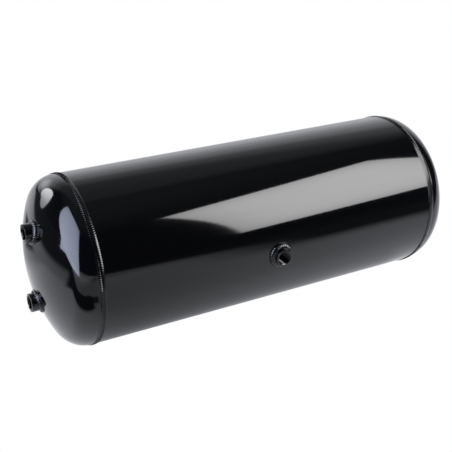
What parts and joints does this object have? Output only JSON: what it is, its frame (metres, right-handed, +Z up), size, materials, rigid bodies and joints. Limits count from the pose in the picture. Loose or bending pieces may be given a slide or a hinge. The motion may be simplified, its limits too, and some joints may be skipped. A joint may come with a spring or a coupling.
{
  "type": "compressed air reservoir, a small horizontal pressure tank",
  "caption": "Horizontal welded steel pressure tank with dished ends, girth welds and threaded ports, painted gloss black, lying loose on its side.",
  "frame": {"origin": "on the floor under the middle of the tank's length, straight below its axis; the tank rests there on its two girth welds", "axes": "+X along the tank's axis, +Y to the back, away from the shell's port, +Z up; the loose tank lies rolled 2.5 degrees about its axis, so its side port dips that much below level"},
  "size_m": [0.7628, 0.2899, 0.2788],
  "materials": {
    "tank_paint": "gloss black enamel over rolled and pressed steel",
    "weld_paint": "gloss black enamel over a rippled weld bead",
    "boss_paint": "gloss black enamel over turned steel, thinner at the thread"
  },
  "bodies": {
    "root": {"shell": "tank_paint", "shell_seam_weld": "weld_paint", "left_end": "tank_paint", "right_end": "tank_paint", "left_girth_weld": "weld_paint", "right_girth_weld": "weld_paint", "side_port_boss": "boss_paint", "side_port_weld": "weld_paint", "left_upper_port_boss": "boss_paint", "left_upper_port_weld": "weld_paint", "left_lower_port_boss": "boss_paint", "left_lower_port_weld": "weld_paint", "right_upper_port_boss": "boss_paint", "right_upper_port_weld": "weld_paint", "right_lower_port_boss": "boss_paint", "right_lower_port_weld": "weld_paint"}
  },
  "joints": []
}
